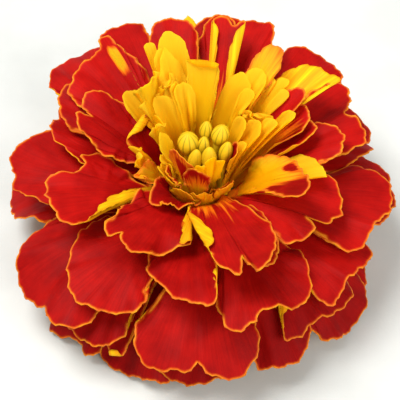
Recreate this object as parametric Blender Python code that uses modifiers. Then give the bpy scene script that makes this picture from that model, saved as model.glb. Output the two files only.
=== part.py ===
"""A double French marigold head, picked with a short stub of stem and sitting face up.

Ray florets stand in whorls on a domed receptacle. Each lies on its own curved sheet of one nested family,
so that the outer ones arch out and hang down, and the inner ones stand up round the disc florets.
Metres, +Z up along the flower's axis; the origin is on the surface, under the middle of the stem stub.
"""

import math
from dataclasses import dataclass

import bmesh
import bpy
from mathutils import Vector

MM = 0.001

# The bed that the florets stand on: half an ellipsoid.
BED_RADIUS = 7.2 * MM
BED_HEIGHT = 4.2 * MM
BED_LEVEL = 13.5 * MM
CLAW_GAP = 0.6 * MM  # from the receptacle's own skin out to where a claw starts

# The nested sheets. Tier 0 is the lowest whorl and tier 1 is the one round the disc.
INNERMOST_ROOT = 60.0  # degrees round the bed, from its rim to the roots of tier 1
LEAN_AT_ROOT = (95.0, 7.0)  # degrees from upright where a claw starts, at tier 0 and tier 1
LEAN_AT_REACH = (150.0, 28.0)  # the same, one sheet reach further out
SHEET_REACH = 26.0 * MM

# A lamina's outline.
LAMINA = 0.5 * MM
CLAW_WIDTH = 1.3 * MM
CLAW_SHARE = 0.10  # of the length, before the blade starts to widen
WIDEST_AT = 0.84
TIP_NARROWING = 0.10
TIP_CORNER = 0.24  # how far the tip's corners fall short of its middle
TIP_ROUNDNESS = 2.8

STEM_RADIUS = 1.7 * MM
STEM_SWELL = 1.35  # how much wider the stem is where it meets the cup
STEM_HOLLOW = 0.8 * MM
STEM_TOP = 3.2 * MM
SEAT_GAP = 0.3 * MM
CUP_MOUTH = 6.9 * MM
CUP_LIP = 0.5 * MM
CUP_TOP = 12.4 * MM
CUP_FOOT = 0.36  # radius as a share of the mouth's
CUP_BELLY = ((0.97, 0.78), (0.88, 0.50), (0.70, 0.24), (0.42, 0.06))  # shares of its radius and height
DISC_TOP = 28.0 * MM
BUD_RADIUS = 1.35 * MM
BUD_HEIGHT = 4.2 * MM
BUD_NECK = -58  # degrees down the bud, to where its tube begins
TUBE_RADIUS = 0.7 * MM


@dataclass(frozen=True)
class Ray:
    """One ray floret: degrees round the axis, tier, then length and width in millimetres."""

    name: str
    around: float
    tier: float
    length: float
    width: float


# Azimuth 0 is +X, and -90 is the front.
GUARD_RAYS = (
    Ray("guard_ray_01", -91, 0.06, 25.5, 16),
    Ray("guard_ray_02", -111, 0.01, 26.3, 15),
    Ray("guard_ray_03", -136, 0.05, 26, 17),
    Ray("guard_ray_04", -62, 0.11, 25.5, 18),
    Ray("guard_ray_05", -38, 0.06, 27.5, 18),
    Ray("guard_ray_06", -14, 0.01, 26.3, 17),
    Ray("guard_ray_07", 16, 0.05, 27, 18),
    Ray("guard_ray_08", 47, 0.01, 26.3, 18),
    Ray("guard_ray_09", 80, 0.05, 27, 19),
    Ray("guard_ray_10", 114, 0.01, 26.3, 19),
    Ray("guard_ray_11", 148, 0.05, 27, 18),
    Ray("guard_ray_12", 184, 0.01, 26.3, 18),
    Ray("skirt_ray_01", -90, 0.20, 25.3, 21),
    Ray("skirt_ray_02", -130, 0.15, 25, 16),
    Ray("skirt_ray_03", 207, 0.22, 26, 18),
    Ray("skirt_ray_04", -47, 0.16, 24.5, 17),
    Ray("skirt_ray_05", 172, 0.18, 28.5, 18),
    Ray("skirt_ray_06", 66, 0.17, 27, 18),
    Ray("skirt_ray_07", 99, 0.22, 26.5, 18),
    Ray("skirt_ray_08", 132, 0.16, 28, 19),
)
MIDDLE_RAYS = (
    Ray("middle_ray_01", -64, 0.36, 22.5, 19),
    Ray("middle_ray_02", -129, 0.32, 21, 18),
    Ray("middle_ray_03", -36, 0.27, 24, 18),
    Ray("middle_ray_04", -12, 0.34, 25, 18),
    Ray("middle_ray_05", 8, 0.24, 27.5, 19),
    Ray("middle_ray_06", 179, 0.34, 26.5, 18),
    Ray("middle_ray_07", 33, 0.29, 28.5, 18),
    Ray("middle_ray_08", 77, 0.26, 26.8, 18),
    Ray("middle_ray_09", 111, 0.31, 27.6, 18),
    Ray("middle_ray_10", -97, 0.44, 20.5, 12),
    Ray("middle_ray_11", 194, 0.48, 21, 16),
    Ray("middle_ray_12", -31, 0.47, 19.5, 17),
    Ray("middle_ray_13", 23, 0.45, 24, 17),
    Ray("middle_ray_14", 160, 0.43, 22.5, 14),
    Ray("middle_ray_15", 52, 0.42, 28, 15),
    Ray("middle_ray_16", 132, 0.38, 32, 20),
    Ray("upper_ray_01", -81, 0.59, 20, 9),
    Ray("upper_ray_02", -64, 0.53, 20.5, 10),
    Ray("upper_ray_03", -128, 0.55, 17, 12),
    Ray("upper_ray_04", 8, 0.58, 21, 11),
    Ray("upper_ray_05", 153, 0.58, 20, 11),
    Ray("upper_ray_06", 130, 0.54, 26, 14),
    Ray("upper_ray_07", 73, 0.57, 26.5, 14),
    Ray("upper_ray_08", 115, 0.49, 30, 11),
    Ray("upper_ray_09", 40, 0.64, 24, 13),
    Ray("upper_ray_10", 101, 0.62, 26, 8),
)
CREST_RAYS = (
    Ray("crest_ray_01", -17, 0.71, 18, 9),
    Ray("crest_ray_02", 56, 0.74, 21, 8),
    Ray("crest_ray_03", 72, 0.84, 18, 5),
    Ray("crest_ray_04", 90, 0.90, 18, 6),
    Ray("crest_ray_05", 106, 0.78, 22, 5),
    Ray("crest_ray_06", 128, 0.83, 19, 6),
    Ray("crest_ray_07", 165, 0.75, 14, 6),
)
DISC_FLORETS = (  # where each bud stands, in millimetres from the axis
    (-2.0, 1.0),
    (1.6, 1.4),
    (1.3, -1.8),
    (-1.7, -1.9),
)


def clear_scene():
    """Takes away whatever the scene starts with."""
    for obj in list(bpy.data.objects):
        bpy.data.objects.remove(obj, do_unlink=True)


def material(name, colour, roughness):
    """One Principled BSDF material with the piece's own colour."""
    made = bpy.data.materials.new(name)
    made.use_nodes = True
    shader = made.node_tree.nodes["Principled BSDF"]
    shader.inputs["Base Color"].default_value = (*colour, 1.0)
    shader.inputs["Roughness"].default_value = roughness
    return made


def add_piece(collection, name, mesh, finish):
    """Wraps a mesh in an object of that name."""
    mesh.materials.append(finish)
    mesh.shade_smooth()
    obj = bpy.data.objects.new(name, mesh)
    collection.objects.link(obj)
    return obj


def between(ends, share):
    """The value at this share of the way from ends[0] to ends[1]."""
    return ends[0] + (ends[1] - ends[0]) * share


def claw_root(tier):
    """(radius, height) where a claw of this tier starts, just clear of the bed."""
    angle = math.radians(90 - INNERMOST_ROOT * tier)
    return BED_RADIUS * math.sin(angle), BED_LEVEL + BED_HEIGHT * math.cos(angle)


def midrib(ray, steps=48):
    """The ray's midrib as (radius, height) points, evenly spaced from the claw to the tip."""
    length = ray.length * MM
    radius, height = claw_root(ray.tier)
    lean = (between(LEAN_AT_ROOT, ray.tier), between(LEAN_AT_REACH, ray.tier))
    points = [(radius, height)]
    for step in range(steps):
        along = (step + 0.5) / steps
        angle = math.radians(between(lean, along * length / SHEET_REACH))
        radius += math.sin(angle) * length / steps
        height += math.cos(angle) * length / steps
        points.append((radius, height))
    return points


def read_along(points, share):
    """The point at this share, from 0 to 1, of an evenly spaced line."""
    place = min(max(share, 0.0), 1.0) * (len(points) - 1)
    index = min(int(place), len(points) - 2)
    return [between(ends, place - index) for ends in zip(points[index], points[index + 1])]


def half_width(ray, along):
    """Half the ray's width at this share of its length: a narrow claw, then a fan."""
    claw = CLAW_WIDTH / 2
    share = min(max((along - CLAW_SHARE) / (WIDEST_AT - CLAW_SHARE), 0.0), 1.0)
    flare = 0.45 * share + 0.55 * share**2 * (3 - 2 * share)
    past = max(0.0, (along - WIDEST_AT) / (1 - WIDEST_AT))
    return claw + (ray.width / 2 * MM - claw) * flare * (1 - TIP_NARROWING * past**2)


def lamina_point(ray, points, along, across):
    """A point of the blade: along from 0 to 1, across from -1 to 1, wrapped round the flower's axis."""
    reach = along * (1 - TIP_CORNER * abs(across) ** TIP_ROUNDNESS)
    radius, height = read_along(points, reach)
    turn = math.radians(ray.around) + across * half_width(ray, along) / radius
    return Vector((radius * math.cos(turn), radius * math.sin(turn), height))


def build_ray(collection, ray, finish, rows=8, columns=4):
    """A ray floret: a flat grid laid over its nested sheet, then given its thickness."""
    points = midrib(ray)
    bm = bmesh.new()
    bmesh.ops.create_grid(bm, x_segments=columns, y_segments=rows, size=1.0)
    for vertex in bm.verts:
        vertex.co = lamina_point(ray, points, (vertex.co.y + 1) / 2, -vertex.co.x)
    mesh = bpy.data.meshes.new(ray.name)
    bm.to_mesh(mesh)
    bm.free()
    obj = add_piece(collection, ray.name, mesh, finish)
    thicken = obj.modifiers.new("lamina", "SOLIDIFY")
    thicken.thickness = LAMINA
    thicken.offset = 0.0
    return obj


def turned(collection, name, profile, finish, sides=20):
    """A turned shape from (radius, height) points, listed from its top down its outer side."""
    mesh = bpy.data.meshes.new(name)
    ends = [(radius, 0.0, height) for radius, height in profile]
    mesh.from_pydata(ends, [(i, i + 1) for i in range(len(ends) - 1)], [])
    obj = add_piece(collection, name, mesh, finish)
    screw = obj.modifiers.new("turn", "SCREW")
    screw.axis = "Z"
    screw.steps = sides
    screw.render_steps = sides
    screw.use_merge_vertices = True
    screw.merge_threshold = 0.00001
    return obj


def arc(centre, radii, start, stop, steps):
    """(radius, height) points on an ellipse, with angles in degrees from its rim up."""
    for step in range(steps + 1):
        angle = math.radians(between((start, stop), step / steps))
        yield centre[0] + radii[0] * math.cos(angle), centre[1] + radii[1] * math.sin(angle)


def build_receptacle(collection, finish):
    """The dome that the florets stand on, seated on the cup's mouth."""
    radii = (BED_RADIUS - CLAW_GAP, BED_HEIGHT - CLAW_GAP)
    dome = list(arc((0, BED_LEVEL), radii, 90, 0, 6))
    foot = CUP_TOP + SEAT_GAP
    return turned(collection, "receptacle", [*dome, (radii[0], foot), (0, foot)], finish)


def build_involucre(collection, finish):
    """The green cup of joined bracts under the florets, narrow at the stem and full above."""
    foot = STEM_TOP + SEAT_GAP
    lip = [(CUP_MOUTH - CUP_LIP, CUP_TOP), (CUP_MOUTH, CUP_TOP - CUP_LIP)]
    belly = [(CUP_MOUTH * wide, between((foot, CUP_TOP), high)) for wide, high in CUP_BELLY]
    profile = [(0, CUP_TOP), *lip, *belly, (CUP_MOUTH * CUP_FOOT, foot), (0, foot)]
    return turned(collection, "involucre", profile, finish)


def build_stem_stub(collection, finish):
    """The cut stub: hollow at the cut, and swelling a little under the cup."""
    middle = STEM_TOP / 2
    profile = [
        (0, STEM_TOP),
        (STEM_RADIUS * STEM_SWELL, STEM_TOP),
        (STEM_RADIUS, middle),
        (STEM_RADIUS, 0),
        (STEM_HOLLOW, 0),
        (STEM_HOLLOW, middle),
        (0, middle),
    ]
    return turned(collection, "stem_stub", profile, finish)


def build_disc_floret(collection, number, place, finish):
    """A disc floret in bud: a round-headed bud on its tube, standing on the bed."""
    x, y = (value * MM for value in place)
    foot = BED_LEVEL + BED_HEIGHT * math.sqrt(1 - (x * x + y * y) / BED_RADIUS**2)
    middle = (0, DISC_TOP - BUD_HEIGHT / 2)
    bud = arc(middle, (BUD_RADIUS, BUD_HEIGHT / 2), 90, BUD_NECK, 8)
    profile = [*bud, (TUBE_RADIUS, foot), (0, foot)]
    obj = turned(collection, f"disc_floret_{number:02d}", profile, finish, sides=12)
    obj.location = (x, y, 0)
    return obj


def main():
    """Builds every piece into one collection."""
    clear_scene()
    collection = bpy.data.collections.new("marigold_flower")
    bpy.context.scene.collection.children.link(collection)
    red = material("red_ray", (0.42, 0.010, 0.006), 0.5)
    flame = material("flame_ray", (0.62, 0.05, 0.008), 0.5)
    gold = material("gold_ray", (0.90, 0.48, 0.012), 0.5)
    bud = material("bud", (0.62, 0.50, 0.02), 0.5)
    green = material("green", (0.10, 0.22, 0.05), 0.6)
    for rays, finish in ((GUARD_RAYS, red), (MIDDLE_RAYS, red), (CREST_RAYS, gold)):
        for ray in rays:
            build_ray(collection, ray, flame if ray.name.startswith("upper") else finish)
    for number, place in enumerate(DISC_FLORETS, 1):
        build_disc_floret(collection, number, place, bud)
    build_receptacle(collection, green)
    build_involucre(collection, green)
    build_stem_stub(collection, green)


main()
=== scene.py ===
"""A double French marigold head, picked with a short stub of stem and resting face up.

Gold-edged red ray florets arch out from a domed receptacle and droop round a yellow crest, with a tight
disc of striped buds in the middle. Lengths in the geometry are millimetres until a mesh is made, which is in
metres.
"""

import logging
import math
from collections.abc import Mapping
from dataclasses import dataclass, field, replace
from enum import Enum
from typing import Any, ClassVar
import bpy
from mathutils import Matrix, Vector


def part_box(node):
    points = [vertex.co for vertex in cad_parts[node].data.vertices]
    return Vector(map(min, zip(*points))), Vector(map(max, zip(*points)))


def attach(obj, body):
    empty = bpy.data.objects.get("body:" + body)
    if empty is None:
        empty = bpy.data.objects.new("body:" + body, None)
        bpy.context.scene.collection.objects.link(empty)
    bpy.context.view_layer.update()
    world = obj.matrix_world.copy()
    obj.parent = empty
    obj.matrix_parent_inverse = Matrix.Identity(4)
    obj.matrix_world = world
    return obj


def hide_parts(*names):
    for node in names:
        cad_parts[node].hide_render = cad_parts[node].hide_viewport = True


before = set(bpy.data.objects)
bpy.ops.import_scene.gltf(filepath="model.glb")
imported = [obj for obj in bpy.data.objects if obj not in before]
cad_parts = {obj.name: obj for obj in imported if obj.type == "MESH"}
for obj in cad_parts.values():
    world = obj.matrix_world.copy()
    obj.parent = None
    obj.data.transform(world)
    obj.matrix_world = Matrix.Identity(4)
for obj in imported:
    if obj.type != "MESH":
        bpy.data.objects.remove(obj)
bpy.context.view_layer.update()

from zlib import crc32

import bpy
import numpy as np
from mathutils import Vector

MM = 0.001
BODY = "root"

log = logging.getLogger("marigold")

Array = np.ndarray
Colour = tuple[float, float, float]
Point = tuple[float, float]


# Shader trees


class Shade:
    """One output socket of a shader tree, on which Python's operators add Math nodes."""

    def __init__(self, tree: "ShaderTree", socket: bpy.types.NodeSocket) -> None:
        """Wraps a socket of a tree.

        Args:
            tree: the tree.
            socket: one of its output sockets.
        """
        self.tree = tree
        self.socket = socket

    def _math(self, operation: str, *values: Any) -> "Shade":
        """One Math node.

        Args:
            operation: the Math node's operation.
            values: its inputs, in order, as numbers or Shades.

        Returns:
            The node's result.
        """
        return self.tree.node("ShaderNodeMath", {"operation": operation}, dict(enumerate(values)))

    def __add__(self, other: Any) -> "Shade":
        """self + other."""
        return self._math("ADD", self, other)

    def __radd__(self, other: Any) -> "Shade":
        """other + self."""
        return self._math("ADD", other, self)

    def __sub__(self, other: Any) -> "Shade":
        """self - other."""
        return self._math("SUBTRACT", self, other)

    def __rsub__(self, other: Any) -> "Shade":
        """other - self."""
        return self._math("SUBTRACT", other, self)

    def __mul__(self, other: Any) -> "Shade":
        """self * other."""
        return self._math("MULTIPLY", self, other)

    def __rmul__(self, other: Any) -> "Shade":
        """other * self."""
        return self._math("MULTIPLY", other, self)

    def __truediv__(self, other: Any) -> "Shade":
        """self / other."""
        return self._math("DIVIDE", self, other)

    def __pow__(self, other: Any) -> "Shade":
        """self ** other."""
        return self._math("POWER", self, other)

    def absolute(self) -> "Shade":
        """The size of the value, without its sign."""
        return self._math("ABSOLUTE", self)

    def ramp(self, low: float, high: float) -> "Shade":
        """A smooth step.

        Args:
            low: the value that gives 0.
            high: the value that gives 1. It may be below low.

        Returns:
            0 to 1, smooth at both ends.
        """
        inputs = {"Value": self, "From Min": low, "From Max": high}
        return self.tree.node("ShaderNodeMapRange", {"interpolation_type": "SMOOTHSTEP"}, inputs)


class ShaderTree:
    """A material's node tree, with short ways to add what the finishes here use."""

    def __init__(self, name: str) -> None:
        """Starts an empty material.

        Args:
            name: its name.
        """
        self.material = bpy.data.materials.new(name)
        self.material.use_nodes = True
        self.nodes = self.material.node_tree.nodes
        self.links = self.material.node_tree.links
        self.nodes.clear()

    def node(
        self, kind: str, settings: Mapping[str, Any], sockets: Mapping[Any, Any], output: int | str = 0
    ) -> Shade:
        """Adds one node.

        Args:
            kind: the node's type.
            settings: its own properties, which are set first.
            sockets: a value or a Shade for each input, by name or number.
            output: which output to return.

        Returns:
            The chosen output.
        """
        made = self.nodes.new(kind)
        for name, value in settings.items():
            setattr(made, name, value)
        for key, value in sockets.items():
            if isinstance(value, Shade):
                self.links.new(value.socket, made.inputs[key])
            else:
                made.inputs[key].default_value = value
        return Shade(self, made.outputs[output])

    def attribute(self, name: str) -> Shade:
        """The value that a mesh holds under this name."""
        return self.node("ShaderNodeAttribute", {"attribute_name": name}, {}, "Fac")

    def vector(self, x: Any, y: Any, z: Any) -> Shade:
        """A vector from three values."""
        return self.node("ShaderNodeCombineXYZ", {}, {0: x, 1: y, 2: z})

    def place(self) -> Shade:
        """The point's place on the object, in metres."""
        return self.node("ShaderNodeTexCoord", {}, {}, "Object")

    def noise(self, at: Shade, scale: float, detail: float = 2.0) -> Shade:
        """A noise pattern.

        Args:
            at: where it is read.
            scale: its repeats in each unit of at.
            detail: how many finer layers it has.

        Returns:
            Values about one half.
        """
        return self.node("ShaderNodeTexNoise", {}, {"Vector": at, "Scale": scale, "Detail": detail})

    def mix(self, share: Any, first: Any, second: Any) -> Shade:
        """A mix of two colours.

        Args:
            share: how much of the second, from 0 to 1.
            first: an RGB colour or a Shade.
            second: an RGB colour or a Shade.

        Returns:
            The mixed colour.
        """
        colours = [c if isinstance(c, Shade) else (*c, 1.0) for c in (first, second)]
        inputs = {"Factor": share, 6: colours[0], 7: colours[1]}
        return self.node("ShaderNodeMix", {"data_type": "RGBA"}, inputs, 2)

    def bump(self, height: Shade, distance: float, strength: float) -> Shade:
        """A normal bent by a height.

        Args:
            height: 0 at the bottom and 1 at the top.
            distance: metres between the two.
            strength: 0 to 1.

        Returns:
            The normal.
        """
        return self.node("ShaderNodeBump", {}, {"Height": height, "Distance": distance, "Strength": strength})

    def principled(self, sockets: Mapping[str, Any]) -> Shade:
        """A Principled BSDF with these inputs."""
        return self.node("ShaderNodeBsdfPrincipled", {}, sockets)

    def translucent(self, share: Any, first: Colour, second: Colour) -> Shade:
        """Light that comes through a thin sheet, in two colours.

        Args:
            share: how much of the second colour.
            first: one colour.
            second: the other colour.

        Returns:
            The mixed shader.
        """
        kind = "ShaderNodeBsdfTranslucent"
        ends = [self.node(kind, {}, {"Color": (*colour, 1)}) for colour in (first, second)]
        return self.blend(share, *ends)

    def blend(self, share: Any, first: Shade, second: Shade) -> Shade:
        """A mix of two shaders, with this share of the second."""
        return self.node("ShaderNodeMixShader", {}, {0: share, 1: first, 2: second})

    def finish(self, shader: Shade) -> bpy.types.Material:
        """Ends the tree.

        Args:
            shader: what goes to the surface.

        Returns:
            The material.
        """
        output = self.nodes.new("ShaderNodeOutputMaterial")
        self.links.new(shader.socket, output.inputs["Surface"])
        return self.material


# Finishes


@dataclass(frozen=True)
class PetalFinish:
    """The velvety skin of the ray florets: red face, gold margin, yellow underside, orange and yellow claw.

    margin: how wide the gold edge is, in millimetres.
    glow and yellow_glow: the share of light that comes through the red, and how much more through the yellow.
    streaks and fibres: how much finer the two patterns of long marks are across a blade and along it.
    clouds and velvet: repeats in a metre of the two soft mottles.
    fibre_height: metres that the fibres stand up. specular: how strongly the skin shines.
    """

    name: str = "petal_velvet"
    # deep_red and red: the darker and the lighter red of the face. The deep red is partly the skin's own
    # mottle and partly painted shade, laid on the low whorls and the throat florets through their low tones.
    deep_red: Colour = (0.22, 0.0012, 0.0012)
    red: Colour = (0.52, 0.0065, 0.0040)
    orange: Colour = (0.95, 0.20, 0.005)
    gold: Colour = (0.82, 0.19, 0.022)
    gilt: Colour = (0.96, 0.36, 0.020)
    # amber, yellow and lemon: the yellows of the crest and claws. The amber low on each floret is partly
    # painted shade and the lemon at the tips partly painted light.
    amber: Colour = (1.0, 0.50, 0.003)
    yellow: Colour = (1.0, 0.74, 0.006)
    lemon: Colour = (1.0, 0.86, 0.030)
    under: Colour = (0.90, 0.34, 0.004)
    through_red: Colour = (0.80, 0.030, 0.006)
    through_yellow: Colour = (1.0, 0.76, 0.01)
    margin: float = 0.20
    glow: float = 0.18
    yellow_glow: float = 0.48
    streaks: Point = (9.0, 1.3)
    fibres: Point = (34.0, 2.2)
    clouds: float = 260.0
    velvet: float = 5200.0
    fibre_height: float = 0.00012
    specular: float = 0.07

    def long_marks(self, tree: ShaderTree, repeats: Point, scale: float, detail: float) -> Shade:
        """A pattern of marks that run the length of a blade, and differ from one floret to the next.

        Args:
            tree: the tree that it is added to.
            repeats: how much finer it is across the blade and along it.
            scale: the noise's own scale.
            detail: how many finer layers it has.

        Returns:
            Values about one half.
        """
        across, along = tree.attribute("across"), tree.attribute("along")
        shift = tree.attribute("tone") * 40.0
        return tree.noise(tree.vector(across * repeats[0] + shift, along * repeats[1], shift), scale, detail)

    def material(self) -> bpy.types.Material:
        """Builds the material.

        Returns:
            A material that reads the florets' own attributes: rim, along, across, under, warmth and tone.
        """
        tree = ShaderTree(self.name)
        rim, along, tone = (tree.attribute(name) for name in ("rim", "along", "tone"))
        under, flame = tree.attribute("under"), tree.attribute("warmth")
        streaks = self.long_marks(tree, self.streaks, 1.6, 3.0)
        fibres = self.long_marks(tree, self.fibres, 1.5, 2.0)
        cloud = tree.noise(tree.place(), self.clouds, 3.0)
        velvet = tree.noise(tree.place(), self.velvet, 1.0)
        # share of the lighter red: cloud and fibre mottle plus each floret's tone, so the deep red is partly
        # mottle and partly painted shade on the florets given low tones
        painted_light_and_mottle = (cloud * 0.9 + fibres * 0.5 + tone * 0.35 - 0.42).ramp(0.0, 1.0)
        face = tree.mix(painted_light_and_mottle, self.deep_red, self.red)
        claw = (flame + (streaks - 0.5) * 0.75 * (flame * 3.0).ramp(0.0, 1.0) - along).ramp(-0.10, 0.14)
        heart = (flame + (streaks - 0.5) * 0.6 - along).ramp(0.06, 0.42)
        # amber low on each floret, yellow above it and lemon at its tip: partly the florets' own colour,
        # partly painted shade deep in the crest and painted light on the tips
        warm = tree.mix((along * 0.8 + streaks * 0.5 + tone * 0.35).ramp(0.45, 1.0), self.amber, self.yellow)
        warm = tree.mix((along + fibres * 0.6).ramp(0.9, 1.35), warm, self.lemon)
        face = tree.mix(claw, face, self.orange)
        face = tree.mix(heart, face, warm)
        width = self.margin * (0.72 + 0.56 * streaks)
        edge = (rim / width).ramp(1.15, 0.80) * (1 - heart)
        halo = (rim / width).ramp(2.4, 0.8) * 0.45 * (1 - heart)
        face = tree.mix(halo, face, self.orange)
        gilt = tree.mix(streaks.ramp(0.4, 0.65), self.gold, self.gilt)
        face = tree.mix(edge, face, gilt)
        back = tree.mix((streaks * 0.7 + fibres * 0.3).ramp(0.34, 0.78), self.under, self.yellow)
        colour = tree.mix(under, face, back)
        normal = tree.bump(fibres * 0.6 + velvet * 0.4, self.fibre_height, 0.55)
        sockets = {"Base Color": colour, "Roughness": 0.45 + 0.2 * cloud, "Normal": normal}
        skin = tree.principled({**sockets, "Specular IOR Level": self.specular})
        yellowed = (heart + edge * 0.4).ramp(0.0, 1.0)
        through = tree.translucent(yellowed, self.through_red, self.through_yellow)
        return tree.finish(tree.blend(self.glow + self.yellow_glow * yellowed, skin, through))


@dataclass(frozen=True)
class BudFinish:
    """Unopened disc florets: olive yellow, with a darker groove between the lobes."""

    name: str = "bud_skin"
    olive: Colour = (0.24, 0.18, 0.003)
    bright: Colour = (0.50, 0.30, 0.003)
    tip: Colour = (0.68, 0.44, 0.006)
    grain: float = 900.0
    grain_height: float = 0.0001

    def material(self) -> bpy.types.Material:
        """Builds the material.

        Returns:
            A material that reads the buds' own attributes: groove and along.
        """
        tree = ShaderTree(self.name)
        groove, along = tree.attribute("groove"), tree.attribute("along")
        grain = tree.noise(tree.place(), self.grain, 2.0)
        colour = tree.mix((grain * 0.5 + along * 0.7).ramp(0.3, 1.0), self.bright, self.tip)
        colour = tree.mix(groove.ramp(0.35, 1.1), colour, self.olive)
        normal = tree.bump(grain, self.grain_height, 0.4)
        sockets = {"Base Color": colour, "Roughness": 0.50 + 0.2 * grain, "Normal": normal}
        return tree.finish(tree.principled({**sockets, "Specular IOR Level": 0.2}))


@dataclass(frozen=True)
class GreenFinish:
    """The colour of a cup of bracts, a stem or a receptacle, in long ribs: green for the first two, and for
    the receptacle a dark olive brown that is painted shade.

    ribs: how many fibres there are round it. glands: whether it has the brown oil spots of the bracts.
    """

    name: str
    dark: Colour
    light: Colour
    ribs: float = 30.0
    glands: bool = False
    gland: Colour = (0.28, 0.10, 0.01)
    gland_scale: float = 620.0
    mottle: float = 420.0

    def material(self) -> bpy.types.Material:
        """Builds the material.

        Returns:
            A material that reads the attributes turn, in turns round the axis, and along, in centimetres up.
        """
        tree = ShaderTree(self.name)
        turn, place = tree.attribute("turn"), tree.place()
        mottle = tree.noise(place, self.mottle, 4.0)
        fibre = tree.noise(tree.vector(turn * self.ribs, tree.attribute("along") * 1.5, 0.0), 3.0, 3.0)
        colour = tree.mix((mottle * 0.5 + fibre * 0.5).ramp(0.35, 0.65), self.dark, self.light)
        height = fibre * 0.6 + mottle * 0.4
        if self.glands:
            inputs = {"Vector": place, "Scale": self.gland_scale}
            spot = tree.node("ShaderNodeTexVoronoi", {}, inputs, "Distance").ramp(0.26, 0.14)
            colour = tree.mix(spot * 0.75, colour, self.gland)
            height = height + spot * 0.8
        normal = tree.bump(height, 0.00015, 0.5)
        sockets = {"Base Color": colour, "Roughness": 0.42 + 0.2 * mottle, "Normal": normal}
        return tree.finish(tree.principled(sockets))


@dataclass(frozen=True)
class PaperFinish:
    """The pale, faintly mottled studio floor."""

    name: str = "studio_paper"
    low: Colour = (0.56, 0.57, 0.54)
    high: Colour = (0.62, 0.63, 0.60)

    def material(self) -> bpy.types.Material:
        """Builds the material.

        Returns:
            The floor's material.
        """
        tree = ShaderTree(self.name)
        mottle = tree.noise(tree.place(), 60.0, 5.0)
        colour = tree.mix(mottle.ramp(0.3, 0.7), self.low, self.high)
        normal = tree.bump(tree.noise(tree.place(), 2400.0, 3.0), 0.0001, 0.2)
        return tree.finish(tree.principled({"Base Color": colour, "Roughness": 0.8, "Normal": normal}))


# The nested sheets and the pile of florets on them


@dataclass(frozen=True)
class Sheets:
    """The nested curved sheets that florets lie on: tier 0 arches out and hangs down, and tier 1 stands up.

    root_radius and root_height: the receptacle's dome, on which the sheets start. level: how high it stands.
    inmost: degrees up the dome at which tier 1 starts.
    lean_root and lean_reach: degrees from straight up that a sheet leans, for tier 0 and for tier 1, at its
    root and at the distance reach from it.
    """

    root_radius: float = 7.2
    root_height: float = 4.2
    level: float = 13.5
    inmost: float = 60.0
    lean_root: tuple[float, float] = (95.0, 7.0)
    lean_reach: tuple[float, float] = (150.0, 28.0)
    reach: float = 26.0

    def profile(self, along: Array, tier: Array) -> tuple[Array, Array]:
        """Where a sheet is at a distance from its root.

        Args:
            along: millimetres along the sheet from its root.
            tier: which sheet.

        Returns:
            Distance from the axis and height, in millimetres.
        """
        root = np.radians(90 - self.inmost * tier)
        lean = np.radians(self.lean_root[0] + (self.lean_root[1] - self.lean_root[0]) * tier)
        far = np.radians(self.lean_reach[0] + (self.lean_reach[1] - self.lean_reach[0]) * tier)
        curve = (far - lean) / self.reach
        radius = self.root_radius * np.sin(root) + (np.cos(lean) - np.cos(lean + curve * along)) / curve
        height = self.root_height * np.cos(root) + (np.sin(lean + curve * along) - np.sin(lean)) / curve
        return radius, height + self.level

    def point(self, turn: Array, along: Array, tier: Array) -> Array:
        """Points in space.

        Args:
            turn: degrees round the axis.
            along: millimetres along the sheet.
            tier: which sheet.

        Returns:
            Places in millimetres, in a last axis of three.
        """
        radius, height = self.profile(along, tier)
        angle = np.radians(turn)
        return np.stack([radius * np.cos(angle), radius * np.sin(angle), height], axis=-1)

    def spacing(self, along: Array, tier: Array) -> Array:
        """How far apart the sheets are.

        Args:
            along: millimetres along the sheet.
            tier: which sheet.

        Returns:
            Millimetres, square to the sheet, that one whole tier would be at this place.
        """
        step = 0.01
        low, high = self.profile(along, tier - step), self.profile(along, tier + step)
        ahead = self.profile(along + step, tier)
        behind = self.profile(along - step, tier)
        across = np.stack([high[0] - low[0], high[1] - low[1]]) / (2 * step)
        tangent = np.stack([ahead[0] - behind[0], ahead[1] - behind[1]]) / (2 * step)
        return np.abs(across[0] * tangent[1] - across[1] * tangent[0])

    def locate(self, points: Array) -> tuple[Array, Array, Array]:
        """The other way round from point().

        Args:
            points: places in millimetres, in a last axis of three.

        Returns:
            Degrees round the axis, millimetres along and tier.
        """
        shape = points.shape[:-1]
        flat = points.reshape(-1, 3)
        radius, height = np.hypot(flat[:, 0], flat[:, 1]), flat[:, 2]
        along_grid, tier_grid = np.meshgrid(np.linspace(0, 36, 37), np.linspace(-0.2, 1.4, 41))
        grid = np.stack(self.profile(along_grid.ravel(), tier_grid.ravel()))
        away = (radius[:, None] - grid[0]) ** 2 + (height[:, None] - grid[1]) ** 2
        nearest = away.argmin(axis=1)
        along, tier = along_grid.ravel()[nearest], tier_grid.ravel()[nearest]
        step, most_along, most_tier = 1e-3, 2.0, 0.2
        for _ in range(4):
            at = self.profile(along, tier)
            on, up = self.profile(along + step, tier), self.profile(along, tier + step)
            a, b = (on[0] - at[0]) / step, (up[0] - at[0]) / step
            c, d = (on[1] - at[1]) / step, (up[1] - at[1]) / step
            miss = radius - at[0], height - at[1]
            scale = a * d - b * c
            scale = np.where(np.abs(scale) < step, step, scale)
            along = along + np.clip((d * miss[0] - b * miss[1]) / scale, -most_along, most_along)
            tier = tier + np.clip((a * miss[1] - c * miss[0]) / scale, -most_tier, most_tier)
        turn = np.degrees(np.arctan2(flat[:, 1], flat[:, 0]))
        return turn.reshape(shape), along.reshape(shape), tier.reshape(shape)


def spread(values: Array, passes: int) -> Array:
    """Evens out a grid of values.

    Args:
        values: the grid.
        passes: how many times each value is averaged with its neighbours.

    Returns:
        The smoother grid.
    """
    for _ in range(passes):
        padded = np.pad(values, 1, mode="edge")
        values = (padded[:-2, 1:-1] + 2 * values + padded[2:, 1:-1]) / 4
        padded = np.pad(values, 1, mode="edge")
        values = (padded[1:-1, :-2] + 2 * values + padded[1:-1, 2:]) / 4
    return values


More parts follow.
